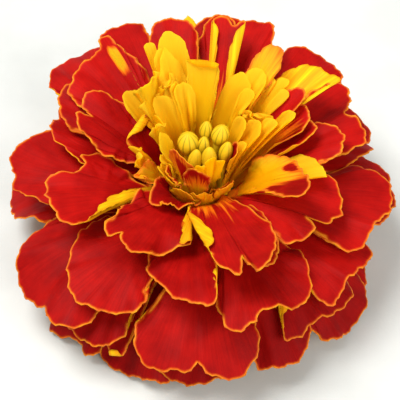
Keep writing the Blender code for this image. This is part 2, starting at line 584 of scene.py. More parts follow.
def widened(values: Array, times: int) -> Array:
    """Widens the high places of a grid.

    Args:
        values: the grid.
        times: how many steps they are widened by.

    Returns:
        The grid, with each value raised to the largest within that many steps of it.
    """
    for _ in range(times):
        padded = np.pad(values, 1, mode="edge")
        rows = np.maximum(np.maximum(padded[:-2, 1:-1], padded[2:, 1:-1]), values)
        padded = np.pad(rows, 1, mode="edge")
        values = np.maximum(np.maximum(padded[1:-1, :-2], padded[1:-1, 2:]), rows)
    return values


def finer(values: Array) -> Array:
    """Makes a grid twice as fine.

    Args:
        values: the grid.

    Returns:
        The grid with a point put between each two of its points, both ways.
    """
    for axis in (0, 1):
        moved = np.moveaxis(values, axis, 0)
        made = np.empty((2 * len(moved) - 1, *moved.shape[1:]))
        made[::2] = moved
        made[1::2] = (moved[1:] + moved[:-1]) / 2
        values = np.moveaxis(made, 0, axis)
    return values


class Pile:
    """How high the florets laid so far reach, as a tier, in every direction and at every distance along."""

    TURNS: ClassVar[int] = 720  # places round the axis
    STEPS: ClassVar[int] = 160  # places along a sheet
    STEP: ClassVar[float] = 0.25  # millimetres between those
    CLEAR: ClassVar[float] = 0.15  # millimetres above the surface the flower rests on
    GAP: ClassVar[float] = 0.42  # millimetres between the middles of two blades
    ROOT: ClassVar[float] = 5.0  # millimetres from the root in which the gap opens

    def __init__(self, sheets: Sheets) -> None:
        """Starts with nothing but the surface that the flower rests on.

        Args:
            sheets: the sheets that the florets lie on.
        """
        self.sheets = sheets
        along = np.arange(self.STEPS) * self.STEP
        tiers = np.linspace(-0.6, 0.6, 241)
        _, height = sheets.profile(along[None, :], tiers[:, None])
        lowest = tiers[np.argmax(height > self.CLEAR, axis=0)]
        self.top = np.tile(lowest, (self.TURNS, 1))

    def cells(self, turn: Array, along: Array) -> tuple[Array, Array]:
        """Places in the pile's grid, as fractional rows and columns."""
        return (turn % 360) * self.TURNS / 360, np.clip(along / self.STEP, 0, self.STEPS - 1.001)

    def under(self, turn: Array, along: Array) -> Array:
        """Reads how high the pile is.

        Args:
            turn: degrees round the axis.
            along: millimetres along the sheet.

        Returns:
            The tier of the top of the pile at each place.
        """
        row, column = self.cells(turn, along)
        i, j = row.astype(int), column.astype(int)
        f, g = row - i, column - j
        i, k = i % self.TURNS, (i + 1) % self.TURNS
        near = self.top[i, j] * (1 - f) + self.top[k, j] * f
        far = self.top[i, j + 1] * (1 - f) + self.top[k, j + 1] * f
        return near * (1 - g) + far * g

    def lift(self, turn: Array, along: Array, tier: Array) -> Array:
        """Raises a floret's grid clear of the pile.

        Args:
            turn: degrees round the axis.
            along: millimetres along the sheet.
            tier: the tiers it would have on its own.

        Returns:
            The tiers that keep it above everything laid so far.
        """
        gap = self.GAP / self.sheets.spacing(along, tier) * np.clip(along / self.ROOT, 0.0, 1.0)
        need = np.maximum(self.under(turn, along) + gap - tier, 0) * np.clip(along / 4.0 - 0.25, 0.0, 1.0)
        soft = spread(widened(need, 2), 10)
        return tier + np.maximum(need, soft)

    def add(self, turn: Array, along: Array, tier: Array) -> None:
        """Lays a floret's grid on the pile.

        Args:
            turn: degrees round the axis.
            along: millimetres along the sheet.
            tier: the tiers that it lies at.
        """
        grids = [finer(finer(v)) for v in (np.unwrap(turn, period=360, axis=1), along, tier)]
        row, column = self.cells(grids[0], grids[1])
        np.maximum.at(self.top, (row.astype(int) % self.TURNS, column.astype(int)), grids[2])
        np.maximum.at(self.top, ((row.astype(int) + 1) % self.TURNS, column.astype(int) + 1), grids[2])


# Ray florets


class Edge(Enum):
    """Where a roll of a floret starts: one of its sides, seen from above the flower, or its tip."""

    CLOCKWISE = -1
    TIP = 0
    ANTICLOCKWISE = 1


@dataclass(frozen=True)
class Roll:
    """A part of a blade turned up and over (positive) or down (negative).

    edge: the margin that it turns. start: the share of the half width, or of the length, where it begins.
    turn: degrees that it has turned at the margin. span: the shares of the length between which a side is
    turned, or for the tip, the places across.
    """

    edge: Edge
    start: float
    turn: float
    span: tuple[float, float] = (-0.2, 1.3)


@dataclass(frozen=True)
class Crease:
    """A straight fold that turns a corner of a blade up and over, so that its underside shows.

    first and last: two points of the fold, in millimetres aside and along the flat blade. What is on the
    right, going from first to last, is turned. radius: how tight the fold is, in millimetres. turn: degrees.
    """

    first: Point
    last: Point
    radius: float = 0.42
    turn: float = 180.0

    def folded(self, flat: Array) -> tuple[Array, Array]:
        """Folds a flat blade.

        Args:
            flat: points aside and along, in a last axis of two.

        Returns:
            The points after the fold, and how far each has risen.
        """
        ahead = np.array(self.last) - np.array(self.first)
        ahead = ahead / np.linalg.norm(ahead)
        right = np.array([ahead[1], -ahead[0]])
        past = np.maximum((flat - np.array(self.first)) @ right, 0)
        angle = np.minimum(past / self.radius, math.radians(self.turn))
        left = past - angle * self.radius
        across = self.radius * np.sin(angle) + left * np.cos(angle)
        rise = self.radius * (1 - np.cos(angle)) + left * np.sin(angle)
        return flat + (across - past)[..., None] * right, rise


@dataclass(frozen=True)
class Look:
    """What sets one floret apart.

    notches: (place across, depth in millimetres) of the cuts in its tip.
    rolls and creases: its turned margins and its folded corners.
    flame: the share of its length that is orange and yellow from the claw, or None to follow its tier.
    ruffle and pleat: how strong its waves are.
    cup: millimetres that its sides stand up.
    sway: degrees round the axis that its tip is moved.
    arch: tiers that its claw stands above its seat.
    tone: its shade of red, from 0 to 1, drawn at random where it is None.
    turned_out: whether its face is on the outside.
    point: how pointed its tip is.
    outline: millimetres aside and along of its far edge, from the clockwise side round the tip to the other.
    blazes: (place across, from and to along, half width, strength) of streaks that are yellower or redder.
    claw: half the width at its root, in millimetres.
    """

    notches: tuple[Point, ...] = ()
    rolls: tuple[Roll, ...] = ()
    creases: tuple[Crease, ...] = ()
    flame: float | None = None
    ruffle: float = 1.0
    pleat: float = 1.0
    cup: float = 0.0
    sway: float = 0.0
    arch: float = 0.0
    # tone: how light its red is, from 0 to 1, drawn at random where it is None; the low tones of the lowest
    # whorl and of the throat florets are painted shade.
    tone: float | None = None
    turned_out: bool = False
    point: float = 0.0
    outline: tuple[Point, ...] = ()
    blazes: tuple[tuple[float, float, float, float, float], ...] = ()
    claw: float = 0.8


@dataclass(frozen=True)
class Seat:
    """Where a floret stands and how big it is: degrees round, tier, and length and width in millimetres."""

    around: float
    tier: float
    length: float
    width: float


@dataclass
class RayFloret:
    """One ray floret: a narrow claw that opens into a ruffled, notched blade.

    rows and columns: the points of its grid along and across. flare: how late the claw opens into the blade.
    thickness: millimetres in the middle of the blade, which thins towards the rim.
    plain_sweep: degrees to each side of the tip that the far edge of a plain blade goes.
    notch: half the width of a notch, as a share of half the far edge.
    """

    # each is a height in millimetres and how close together the waves are
    PLEATS: ClassVar[tuple[Point, ...]] = ((0.50, 4.2), (0.30, 8.5), (0.10, 19.0))
    WAVES: ClassVar[tuple[Point, ...]] = ((0.70, 3), (0.55, 6), (0.36, 11), (0.16, 21))
    FRILL: ClassVar[tuple[Point, ...]] = ((0.085, 4.7), (0.045, 10.3))

    name: str
    seat: Seat
    look: Look
    seed: int
    rows: int = 50
    columns: int = 67
    flare: float = 1.3
    thickness: float = 0.24
    plain_sweep: float = 105.0
    notch: float = 0.07

    def __post_init__(self) -> None:
        """Draws the floret's own random numbers, always in the same order."""
        draw = np.random.default_rng(self.seed)
        self.phases = draw.uniform(0, 2 * np.pi, 12)
        self.sizes = draw.uniform(0.55, 1.0, 12)
        self.tone = draw.uniform(0, 1) if self.look.tone is None else self.look.tone

    def plain_border(self) -> Array:
        """The far edge of a plain blade.

        Returns:
            Points aside and along, from its widest point on one side round the tip to the other side.
        """
        seat = self.seat
        angle = np.linspace(-1, 1, 4 * self.columns) * np.radians(self.plain_sweep)
        head = min(0.42, 0.55 * seat.width / seat.length) * (1 + 1.6 * self.look.point)
        pointed = 1 - np.abs(angle) / (np.pi / 2)
        rise = (1 - self.look.point) * np.cos(angle) + self.look.point * pointed
        return np.stack([seat.width / 2 * np.sin(angle), seat.length * (1 - head + head * rise)], axis=-1)

    def border(self) -> Array:
        """The far edge of the blade with its lobes, notches and frill.

        Returns:
            Millimetres aside and along for each column.
        """
        own = bool(self.look.outline)
        line = smooth_line(np.array(self.look.outline, float)) if own else self.plain_border()
        line = evenly(line, 6 * self.columns)
        steps = np.linalg.norm(np.diff(line, axis=0), axis=1)
        far = np.concatenate([[0.0], np.cumsum(steps)])
        place = 2 * far / far[-1] - 1
        ahead = np.gradient(line, axis=0)
        outward = np.stack([-ahead[:, 1], ahead[:, 0]], axis=-1)
        outward /= np.maximum(np.linalg.norm(outward, axis=-1, keepdims=True), 1e-9)
        size = min(1.0, self.seat.width / 12)
        swell = 0.34 * self.sizes[0] * np.sin(far * 0.9 + self.phases[0])
        swell = swell * (0.25 if own else 1.0) + 0.17 * np.sin(far * 2.1 + self.phases[1])
        (large, slow), (little, quick) = self.FRILL
        frill = large * np.sin(far * slow + self.phases[2]) + little * np.sin(far * quick + self.phases[10])
        offset = (swell + frill) * size
        for where, depth in self.look.notches:
            offset = offset - depth * np.exp(-((np.abs(place - where) / self.notch) ** 1.3))
        return evenly(line + outward * offset[:, None], self.columns)

    def relief(self, along: Array, across: Array, aside: Array, reach: Array) -> Array:
        """Millimetres that pleats, ruffles and cupping stand above the plain sheet.

        Args:
            along: each point's share of the length.
            across: each point's place, from -1 to 1.
            aside: millimetres to the side of the midline.
            reach: millimetres from the root.

        Returns:
            The rise in millimetres.
        """
        size = min(1.0, self.seat.width / 14.0)
        (deep, wide), (shallow, narrow), (fine, finest) = self.PLEATS
        pleats = deep * self.sizes[3] * np.sin(wide * across + self.phases[3])
        pleats = pleats + shallow * self.sizes[4] * np.sin(narrow * across + self.phases[4] + 1.5 * along)
        pleats = pleats + fine * np.sin(finest * across + self.phases[9] + along)
        angle = np.arctan2(aside, reach - 0.5 * self.seat.length)
        rim = np.clip(np.maximum(np.abs(across) ** 3, np.clip((along - 0.55) / 0.45, 0, 1) ** 2), 0, 1)
        waves = np.zeros(angle.shape)
        for number, (high, count) in enumerate(self.WAVES, start=5):
            waves = waves + high * self.sizes[number] * np.sin(count * angle + self.phases[number])
        rise = self.look.pleat * pleats * along**1.5 * size + self.look.ruffle * waves * rim * size
        return rise + self.look.cup * np.abs(across) ** 2.2 * along

    def turned(self, points: Array, along: Array, across: Array) -> Array:
        """The grid with each roll of its look put in.

        Args:
            points: the grid in space, rows along and columns across.
            along: each row's share of the length.
            across: each column's place, from -1 to 1.

        Returns:
            The grid in space with its margins turned.
        """
        for roll in self.look.rolls:
            if roll.edge is Edge.TIP:
                points = bent(points, along, roll, -roll.turn, band(across, roll.span))
            else:
                sign = roll.edge.value
                side = points.transpose(1, 0, 2)[::sign]
                place = across[::sign] * sign
                side = bent(side, place, roll, sign * roll.turn, band(along, roll.span))
                points = side[::sign].transpose(1, 0, 2)
        return points

    def grid(self, pile: Pile) -> tuple[Array, Array, Array, Array]:
        """Lays the floret on the pile.

        Args:
            pile: the florets laid so far. This one is added to it.

        Returns:
            The middle of its blade in space, and each point's share along, place across and distance to rim.
        """
        sheets, seat = pile.sheets, self.seat
        across = np.linspace(-1, 1, self.columns)
        along = 1 - (1 - np.linspace(0, 1, self.rows)) ** 1.15
        shares, places = np.meshgrid(along, across, indexing="ij")
        border = self.border()
        reach = shares * border[None, :, 1]
        aside = self.look.claw * places * (1 - shares) + border[None, :, 0] * shares**self.flare
        flat = np.stack([aside, reach], axis=-1)
        rim = self.rim(flat)
        relief = self.relief(shares, places, aside, reach)
        height, start = np.zeros(aside.shape), flat
        for crease in self.look.creases:
            flat, rise = crease.folded(flat)
            height = height + rise
        aside, reach = flat[..., 0], flat[..., 1]
        plain = seat.tier + self.look.arch * np.clip(1 - reach / seat.length, 0, 1) ** 2
        radius, _ = sheets.profile(reach, plain)
        turn = seat.around + self.look.sway * shares**2 + np.degrees(aside / radius)
        if height.any():
            relief = carried(relief, start, flat, height > 0)
        tier = plain + relief / sheets.spacing(reach, plain)
        if self.look.rolls:
            turn, reach, tier = sheets.locate(self.turned(sheets.point(turn, reach, tier), along, across))
        tier = pile.lift(turn, reach, tier)
        tier = tier + height / sheets.spacing(reach, tier)
        pile.add(turn, reach, tier)
        return sheets.point(turn, reach, tier), shares, places, rim

    def rim(self, flat: Array) -> Array:
        """How far the points of a blade are from its margin.

        Args:
            flat: the points of the flat blade, aside and along.

        Returns:
            Millimetres from each to the nearest margin.
        """
        line = evenly(np.concatenate([flat[:, 0], flat[-1], flat[::-1, -1]]), 400)
        away = flat.reshape(-1, 1, 2) - line[None]
        return np.sqrt((away**2).sum(-1).min(-1)).reshape(flat.shape[:2])

    def warmth(self, along: Array, across: Array) -> Array:
        """Where the yellow and orange of the claw end.

        Args:
            along: each point's share of the length.
            across: each point's place, from -1 to 1.

        Returns:
            The share along at which the red starts, at each point, with the blazes put in.
        """
        warmth = np.full(along.shape, float(self.look.flame))
        for place, start, end, half, strength in self.look.blazes:
            inside = np.clip((along - start) / 0.15, 0, 1) * np.clip((end - along) / 0.12, 0, 1)
            warmth = warmth + strength * np.exp(-(((across - place) / half) ** 2)) * inside
        return warmth

    def build(self, pile: Pile, skin: bpy.types.Material) -> bpy.types.Object:
        """Builds the floret as a closed sheet.

        Args:
            pile: the florets laid so far.
            skin: its material.

        Returns:
            The new object.
        """
        middle, along, across, rim = self.grid(pile)
        rows, columns = along.shape
        normal = np.cross(np.gradient(middle, axis=0), np.gradient(middle, axis=1))
        normal /= np.maximum(np.linalg.norm(normal, axis=-1, keepdims=True), 1e-9)
        half = self.thickness / 2 * np.clip(0.45 + rim / 0.8, 0, 1)[..., None]
        points = np.concatenate([middle + normal * half, middle - normal * half]).reshape(-1, 3)
        index = np.arange(rows * columns).reshape(rows, columns)
        a, b, c, d = index[:-1, :-1], index[:-1, 1:], index[1:, 1:], index[1:, :-1]
        upper = np.stack([a, d, c, b], axis=-1).reshape(-1, 4)
        lower = upper[:, ::-1] + rows * columns
        loop = np.concatenate([index[:, 0], index[-1, 1:], index[-2::-1, -1], index[0, -2:0:-1]])
        after = np.roll(loop, -1)
        side = np.stack([loop, loop + rows * columns, after + rows * columns, after], axis=-1)
        values = {
            "rim": np.tile(rim.ravel(), 2),
            "along": np.tile(along.ravel(), 2),
            "across": np.tile(across.ravel(), 2),
            "under": np.repeat([1.0, 0.0] if self.look.turned_out else [0.0, 1.0], rows * columns),
            "warmth": np.tile(self.warmth(along, across).ravel(), 2),
            "tone": np.full(2 * rows * columns, self.tone),
        }
        faces = np.concatenate([upper, lower, side]).tolist()
        return mesh_object(self.name, points, faces, values, skin)


def carried(values: Array, start: Array, flat: Array, moved: Array) -> Array:
    """What a grid holds, read again where its folded points now lie.

    Args:
        values: what each point holds.
        start: where each point was, aside and along.
        flat: where each point is now.
        moved: which points were folded.

    Returns:
        The values, with those of the folded points taken from the blade under them.
    """
    nearness = 0.4
    away = ((flat[moved][:, None] - start.reshape(1, -1, 2)) ** 2).sum(-1)
    away -= away.min(axis=1, keepdims=True)
    weight = np.exp(-away / nearness**2)
    made = values.copy()
    made[moved] = (weight @ values.ravel()) / weight.sum(1)
    return made


def band(places: Array, span: tuple[float, float]) -> Array:
    """A share that is 1 inside a span and 0 outside it, with soft ends.

    Args:
        places: where it is read.
        span: the two ends.

    Returns:
        The share at each place.
    """
    soft = 0.16
    rise = np.clip((places - span[0]) / soft + 0.5, 0, 1)
    fall = np.clip((span[1] - places) / soft + 0.5, 0, 1)
    share = rise * fall
    return share * share * (3 - 2 * share)


def smooth_line(points: Array) -> Array:
    """A smooth line through points, with twelve steps between each two.

    Args:
        points: the places that it goes through, aside and along.

    Returns:
        The points of the line.
    """
    ends = np.concatenate([[2 * points[0] - points[1]], points, [2 * points[-1] - points[-2]]])
    before, first, second, after = ends[:-3, None], ends[1:-2, None], ends[2:-1, None], ends[3:, None]
    t = np.linspace(0, 1, 12, endpoint=False)[None, :, None]
    line = 2 * first + (second - before) * t + (2 * before - 5 * first + 4 * second - after) * t**2
    line = (line + (3 * first - before - 3 * second + after) * t**3) / 2
    return np.concatenate([line.reshape(-1, 2), points[-1:]])


def evenly(line: Array, count: int) -> Array:
    """Spaces the points of a line evenly.

    Args:
        line: its points.
        count: how many it is to have.

    Returns:
        The same line with that many points.
    """
    far = np.concatenate([[0.0], np.cumsum(np.linalg.norm(np.diff(line, axis=0), axis=1))])
    at = np.linspace(0, far[-1], count)
    return np.stack([np.interp(at, far, line[:, 0]), np.interp(at, far, line[:, 1])], axis=-1)


def bent(points: Array, places: Array, roll: Roll, turn: float, strength: Array) -> Array:
    """Turns the last rows of a grid over, keeping the distances between them.

    Args:
        points: the grid in space.
        places: each row's place.
        roll: where the turn begins.
        turn: degrees that it has turned at the last row, with its sign.
        strength: how much of the turn each column takes.

    Returns:
        The turned grid.
    """
    made = points.copy()
    axis = np.gradient(points, axis=1)
    axis /= np.maximum(np.linalg.norm(axis, axis=-1, keepdims=True), 1e-9)
    past = np.clip((places - roll.start) / (places[-1] - roll.start), 0, 1)
    for row in range(1, len(points)):
        if past[row] <= 0:
            continue
        angle = (np.radians(turn) * (past[row] + past[row - 1]) / 2 * strength)[:, None]
        step = points[row] - points[row - 1]
        pole = axis[row - 1]
        along = (pole * step).sum(-1, keepdims=True)
        made[row] = made[row - 1] + (
            step * np.cos(angle) + np.cross(pole, step) * np.sin(angle) + pole * along * (1 - np.cos(angle))
        )
    return made


def mesh_object(
    name: str, points: Array, faces: list, values: Mapping[str, Array], skin: bpy.types.Material
) -> bpy.types.Object:
    """Makes a smooth mesh object.

    Args:
        name: the object's name.
        points: its vertices in millimetres.
        faces: the vertex numbers of each face.
        values: what each vertex holds for the material.
        skin: its material.

    Returns:
        The new object.
    """
    mesh = bpy.data.meshes.new(name)
    mesh.from_pydata((points * MM).tolist(), [], faces)
    mesh.validate()
    for key, value in values.items():
        held = mesh.attributes.new(key, "FLOAT", "POINT")
        held.data.foreach_set("value", np.ascontiguousarray(value, np.float32))
    mesh.materials.append(skin)
    mesh.shade_smooth()
    made = bpy.data.objects.new(name, mesh)
    bpy.context.scene.collection.objects.link(made)
    return made


CW, ACW, TIP = Edge.CLOCKWISE, Edge.ANTICLOCKWISE, Edge.TIP
LOBED = ((0.35, 1.2), (-0.35, 1.2))  # a tip with two notches
ARCHED = Roll(TIP, 0.25, -45)  # a floret that bends outwards along most of its length
HOODED = Roll(TIP, 0.75, 110)  # a tip that nods inwards
TROUGH = (Roll(CW, 0.0, 55), Roll(ACW, 0.0, 55))  # both sides standing up
QUILL = (Roll(CW, 0.0, 110), Roll(ACW, 0.0, 110))  # both sides rolled in

LOOKS: dict[str, Look] = {
    # the second whorl from below
    "skirt_ray_01": Look(
        outline=(
            (-8, 16), (-10, 19), (-10.5, 22), (-9, 24.5), (-5.5, 25), (-1.5, 24.5), (-0.5, 23), (1, 25),
            (5.5, 26), (8, 24.5), (9.5, 21.5), (9, 18),
        ),
        cup=-0.8, tone=0.25,
    ),
    "skirt_ray_02": Look(
        outline=((-7, 16), (-7, 21), (-4, 24), (0, 24.5), (4, 24), (6.5, 21.5), (6, 18)),
        tone=0.1,
    ),
    "skirt_ray_03": Look(
        outline=(
            (-7.5, 16), (-8, 22), (-5.5, 25), (-2.5, 26.5), (1, 27), (3, 26.5), (6, 25.5), (9, 26.5),
            (12, 25.5), (13, 23), (12, 19),
        ),
        cup=-0.5, tone=0.3,
    ),
    "skirt_ray_04": Look(
        outline=(
            (-5.2, 15), (-6.4, 16.6), (-6.3, 18.6), (-6.9, 20.2), (-7.4, 21.6), (-6.6, 22.4),
            (-3.6, 22.4), (-2, 21.9), (0.6, 22.6), (5.5, 23.6), (8, 23.2), (8.6, 21.5), (8.5, 17),
        ),
        creases=(Crease((-6.9, 22.0), (-3.7, 16.0)),), tone=0.0,
    ),
    "skirt_ray_05": Look(
        outline=(
            (-9, 19), (-9.5, 25), (-6, 28.5), (-0.5, 28.5), (3, 26.5), (5, 24.5), (6.5, 20), (6.5, 16),
        ),
        tone=0.5,
    ),
    # the fullest whorls
    "middle_ray_01": Look(
        outline=(
            (-7, 13.5), (-8, 17), (-8.5, 21.5), (-7, 23), (-4.5, 22.5), (-3, 21.5), (1, 22), (4, 21.5),
            (6, 21), (7.5, 19), (8.5, 16), (8.5, 13),
        ),
        cup=-0.8, tone=0.35,
    ),
    "middle_ray_02": Look(
        outline=(
            (-8.6, 8.5), (-9.6, 11.2), (-9.3, 14.4), (-8.4, 17), (-7, 19), (-5, 21), (-2.5, 22.5),
            (0, 22.5), (3, 21.5), (5.5, 20), (7.5, 19.5), (7.5, 17), (6, 15), (6, 12.5),
        ),
        cup=-0.9, tone=0.35,
    ),
    "middle_ray_03": Look(
        outline=(
            (-5, 13), (-5, 19), (-5, 22.5), (-3, 23), (-1, 22.5), (3, 23), (6.5, 23.5), (8.5, 22.5),
            (9, 17),
        ),
        cup=-0.6, tone=0.6,
    ),
    "middle_ray_04": Look(
        outline=(
            (-6, 15), (-8, 20), (-6.5, 22), (-3, 23), (0, 24), (2, 25), (5, 25.5), (8, 25.5), (9.5, 24),
            (10, 19),
        ),
        cup=-0.6, tone=0.7,
    ),
    "middle_ray_05": Look(notches=((0.0, 0.8),), tone=0.5),
    "middle_ray_06": Look(sway=-11, notches=((0.2, 1.2), (-0.5, 0.8)), tone=0.6),
    "middle_ray_07": Look(notches=((0.3, 1.0), (-0.3, 1.2)), tone=0.3),
    "middle_ray_10": Look(
        outline=(
            (-4, 8.2), (-6, 12.4), (-5.9, 15.2), (-4.9, 16.4), (-2.5, 18.6), (-1, 19.4), (0.7, 19.6),
            (4.2, 20.9), (5.4, 20.5), (5.8, 19.6), (5.5, 17.3), (6.0, 15.2), (5.4, 13.4), (4.8, 12),
        ),
        creases=(Crease((4.3, 12.0), (5.0, 18.0)),), cup=-0.5, tone=0.3,
    ),
    "middle_ray_11": Look(
        outline=(
            (-8.5, 12), (-7.9, 14.8), (-5.7, 14.4), (-4.1, 15.4), (-3.9, 19.6), (-1, 20.2), (1.1, 20.8),
            (3.2, 20.6), (5.9, 20.4), (7.1, 19), (6.8, 17.8), (6.2, 15.2), (5.6, 11), (5.3, 9),
            (4.2, 7.2), (3.6, 5.2),
        ),
        creases=(Crease((0.1, 4.6), (7.1, 19.0)),), tone=0.7,
    ),
    "middle_ray_12": Look(
        outline=(
            (-4, 9), (-5, 13), (-6, 15.5), (-4.5, 16), (-2.5, 17.5), (-1, 17), (-0.5, 15.5), (0, 18),
            (2.5, 18.5), (4, 19), (6, 18.5), (8.5, 17.5), (10, 15.5), (9.5, 12),
        ),
        cup=-0.7, arch=0.35, claw=2.4, tone=0.9,
    ),
    "middle_ray_13": Look(
        outline=(
            (-6, 15), (-6.5, 19), (-6, 21.5), (-5, 23), (-2.5, 23.5), (-0.5, 23.5), (1, 22), (2, 23),
            (3, 24), (6, 25.5), (8.5, 26), (9.5, 23), (9, 17),
        ),
        tone=0.8,
    ),
    "middle_ray_14": Look(sway=-9, notches=((0.0, 1.2), (-0.5, 0.8)), tone=0.6),
    "middle_ray_15": Look(
        outline=(
            (-7, 19), (-7, 25), (-5.5, 28), (-3.5, 28.5), (0, 29), (3.5, 28.5), (5.5, 25.5), (6, 19),
        ),
        tone=0.5,
    ),
    "middle_ray_16": Look(
        outline=((-9, 24), (-9, 29), (-5, 32), (0, 33), (4, 32.5), (7, 31), (9, 28), (9, 23)),
        sway=-7, cup=0.8, tone=0.9,
    ),
    # the shorter ones above them
    "upper_ray_01": Look(
        outline=(
            (-2.6, 3.8), (-3.4, 7.6), (-4.2, 9.7), (-4.8, 12.4), (-4.7, 14.4), (-4.1, 16.0),
            (-3.0, 16.9), (-1.3, 17.5), (-1.6, 18.6), (-1.1, 20.2), (0.5, 21.2), (1, 22.2), (2.1, 22.4),
            (2.7, 21.4), (2.9, 19.0), (3.4, 20.8), (4.2, 23.4), (5.2, 24.4), (6.9, 23.2), (8.4, 21),
            (9, 18), (9, 14),
        ),
        creases=(Crease((-1.3, 17.4), (-2.6, 11.2)),), flame=0.34, tone=0.5, arch=0.36, claw=3.0,
        blazes=((0.3, 0.1, 0.75, 0.12, -0.5),),
    ),
    "upper_ray_02": Look(
        outline=(
            (-3, 12), (-3, 16.5), (-2.5, 18.4), (-1, 19.6), (1, 19), (3, 17.2), (4.3, 14.5), (4.8, 11),
        ),
        flame=0.22, tone=0.4, arch=0.34, claw=2.4,
    ),
    "upper_ray_03": Look(
        outline=(
            (-6, 7), (-4.6, 9), (-4.8, 11.4), (-3.5, 14.5), (-3.7, 16), (-3, 17.2), (-1.4, 17.4),
            (-0.8, 16), (0.4, 17), (2.9, 18.4), (4.5, 17.6), (5.2, 16), (6, 13.5), (7.6, 12.4),
            (9.3, 12.0), (10.8, 11.4), (8.6, 8.6), (5.4, 4.8),
        ),
        creases=(Crease((1.0, 1.5), (8.3, 11.8)),), flame=0.2, tone=0.4, arch=0.3, claw=2.2,
        blazes=((0.5, 0.45, 0.8, 0.16, 0.7),),
    ),
    "upper_ray_04": Look(
        outline=((-4, 13), (-4, 16.5), (-4, 19), (-2, 20.5), (1, 20.5), (3.5, 19), (4.5, 17), (5, 13)),
        tone=0.8, flame=0.2,
    ),
    "upper_ray_05": Look(
        outline=(
            (-5.5, 13), (-5, 18), (-4, 19.5), (-2, 20), (-0.5, 18.5), (0.5, 16.5), (1.5, 18.5),
            (2.5, 19.5), (4, 18.5), (5, 16), (5, 12),
        ),
        flame=0.3, tone=0.5, blazes=((-0.2, 0.6, 0.85, 0.2, 0.3),),
    ),
    "upper_ray_06": Look(
        outline=(
            (-5.5, 18), (-5, 24), (-5, 27), (-3.5, 27.5), (-1, 25), (3, 24.5), (6, 23.5), (8, 22),
            (7.5, 17),
        ),
        flame=0.35, tone=0.9, blazes=((-0.3, 0.62, 0.98, 0.12, 0.9),),
    ),
    "upper_ray_07": Look(
        outline=((-6, 17), (-5, 23), (-4.5, 26), (-4, 27.5), (1, 27), (4, 27), (7, 26), (7.5, 20)),
        flame=0.12, tone=0.9,
    ),
    "upper_ray_08": Look(
        outline=((-4, 19), (-4, 25), (-4, 29), (0, 30), (3.5, 29), (5, 24), (5, 18)),
        flame=0.25, tone=0.8,
    ),
    "upper_ray_09": Look(
        outline=(
            (-2.6, 12), (-3.3, 16.5), (-3.3, 19), (-3.7, 21), (-4.4, 22.8), (-5.8, 25), (-5, 25.2),
            (-3.5, 24.4), (-1.2, 23.8), (1, 23), (2.4, 21.5), (2.9, 19), (3.2, 15.5), (2.4, 11),
        ),
        turned_out=True, flame=0.45, tone=0.8, ruffle=0.6,
    ),
    "upper_ray_10": Look(flame=0.3, tone=0.7),
    # the lowest whorl, which hangs down
    # the low tones given to these hanging florets are painted shade in their red
    "guard_ray_01": Look(
        outline=(
            (-8, 18), (-7, 22), (-5.5, 24), (-2.5, 25), (0.5, 25), (3, 24.5), (6, 24), (8, 21), (8, 17),
        ),
    ),
    "guard_ray_02": Look(
        outline=((-8, 18), (-8, 23), (-6, 25.5), (0, 25.5), (5, 25), (7, 22), (7, 18)),
        tone=0.0,
    ),
    "guard_ray_03": Look(
        outline=(
            (-8, 20), (-7.5, 25), (-5, 27.5), (-2, 26.5), (0.5, 25), (4, 26), (5.5, 24), (6.5, 21),
            (7, 17),
        ),
        tone=0.1,
    ),
    "guard_ray_04": Look(
        outline=(
            (-5, 17), (-5, 23), (-4, 24.5), (-1.5, 25.5), (2, 25.5), (3.5, 24.5), (5.5, 22.5), (6.5, 18),
        ),
        tone=0.0,
    ),
    "guard_ray_05": Look(
        outline=(
            (-5, 19), (-4.5, 24.5), (-2, 26.5), (1.5, 27.5), (6.5, 27.5), (8.5, 26.5), (9.5, 23),
            (9, 18),
        ),
        tone=0.1,
    ),
    # the yellow crest
    "crest_ray_01": Look(
        outline=(
            (-0.9, 7), (-4.6, 12.8), (-7.5, 17.8), (-8, 19.8), (-7.6, 21), (-6.2, 21), (-4.5, 20.4),
            (-3, 19.4), (-1.4, 17.6), (0.7, 15.8), (2.2, 14.6), (3.6, 12.4), (4.6, 10.2), (5, 7.2),
        ),
        flame=1.12, tone=0.0, ruffle=0.6,
        blazes=((-0.32, 0.42, 1.3, 0.30, -1.7), (0.42, 0.78, 0.99, 0.07, -1.2)),
    ),
    "crest_ray_02": Look(
        outline=((-2.4, 14), (-3.2, 19), (-2.9, 22), (-1.7, 23.4), (0.2, 22.8), (1.5, 20.4), (1.9, 14)),
        flame=1.1, cup=0.6, tone=0.1,
    ),
    "crest_ray_03": Look(
        outline=((-1.6, 10), (-2.4, 14), (-2.3, 16.6), (-1.0, 18.2), (0.6, 17.6), (1.8, 15.5), (2.2, 10)),
        sway=-11, flame=1.7, cup=0.6,
    ),
    "crest_ray_04": Look(
        outline=(
            (-2.2, 13), (-2.6, 17), (-2.7, 19), (-2.4, 20.2), (0, 20.7), (2.4, 20.0), (2.6, 18.2),
            (2.2, 13),
        ),
        creases=(Crease((3.2, 19.4), (-3.2, 18.9), 0.32),), sway=-2, flame=1.8, cup=0.5, tone=0.9,
    ),
    "crest_ray_05": Look(
        outline=(
            (-2.2, 13), (-2.6, 18), (-2.5, 21), (-1.4, 22.8), (0.2, 23.4), (1.6, 22), (2.4, 18),
            (2.3, 13),
        ),
        flame=1.9, cup=0.6, tone=1.0,
    ),
    "crest_ray_06": Look(flame=1.5, rolls=(Roll(TIP, 0.7, 60),)),
    "crest_ray_07": Look(
        outline=(
            (-6, 5.5), (-6.8, 8.5), (-6.6, 12), (-4.6, 13.8), (-2, 13.6), (0, 12.3), (0.8, 10.2),
            (0.9, 7.5),
        ),
        creases=(Crease((-4.9, 12.0), (-4.0, 5.0)), Crease((0.8, 11.6), (-5.0, 11.9))), flame=0.15,
        cup=0.4, tone=0.0, claw=1.4,
    ),
}


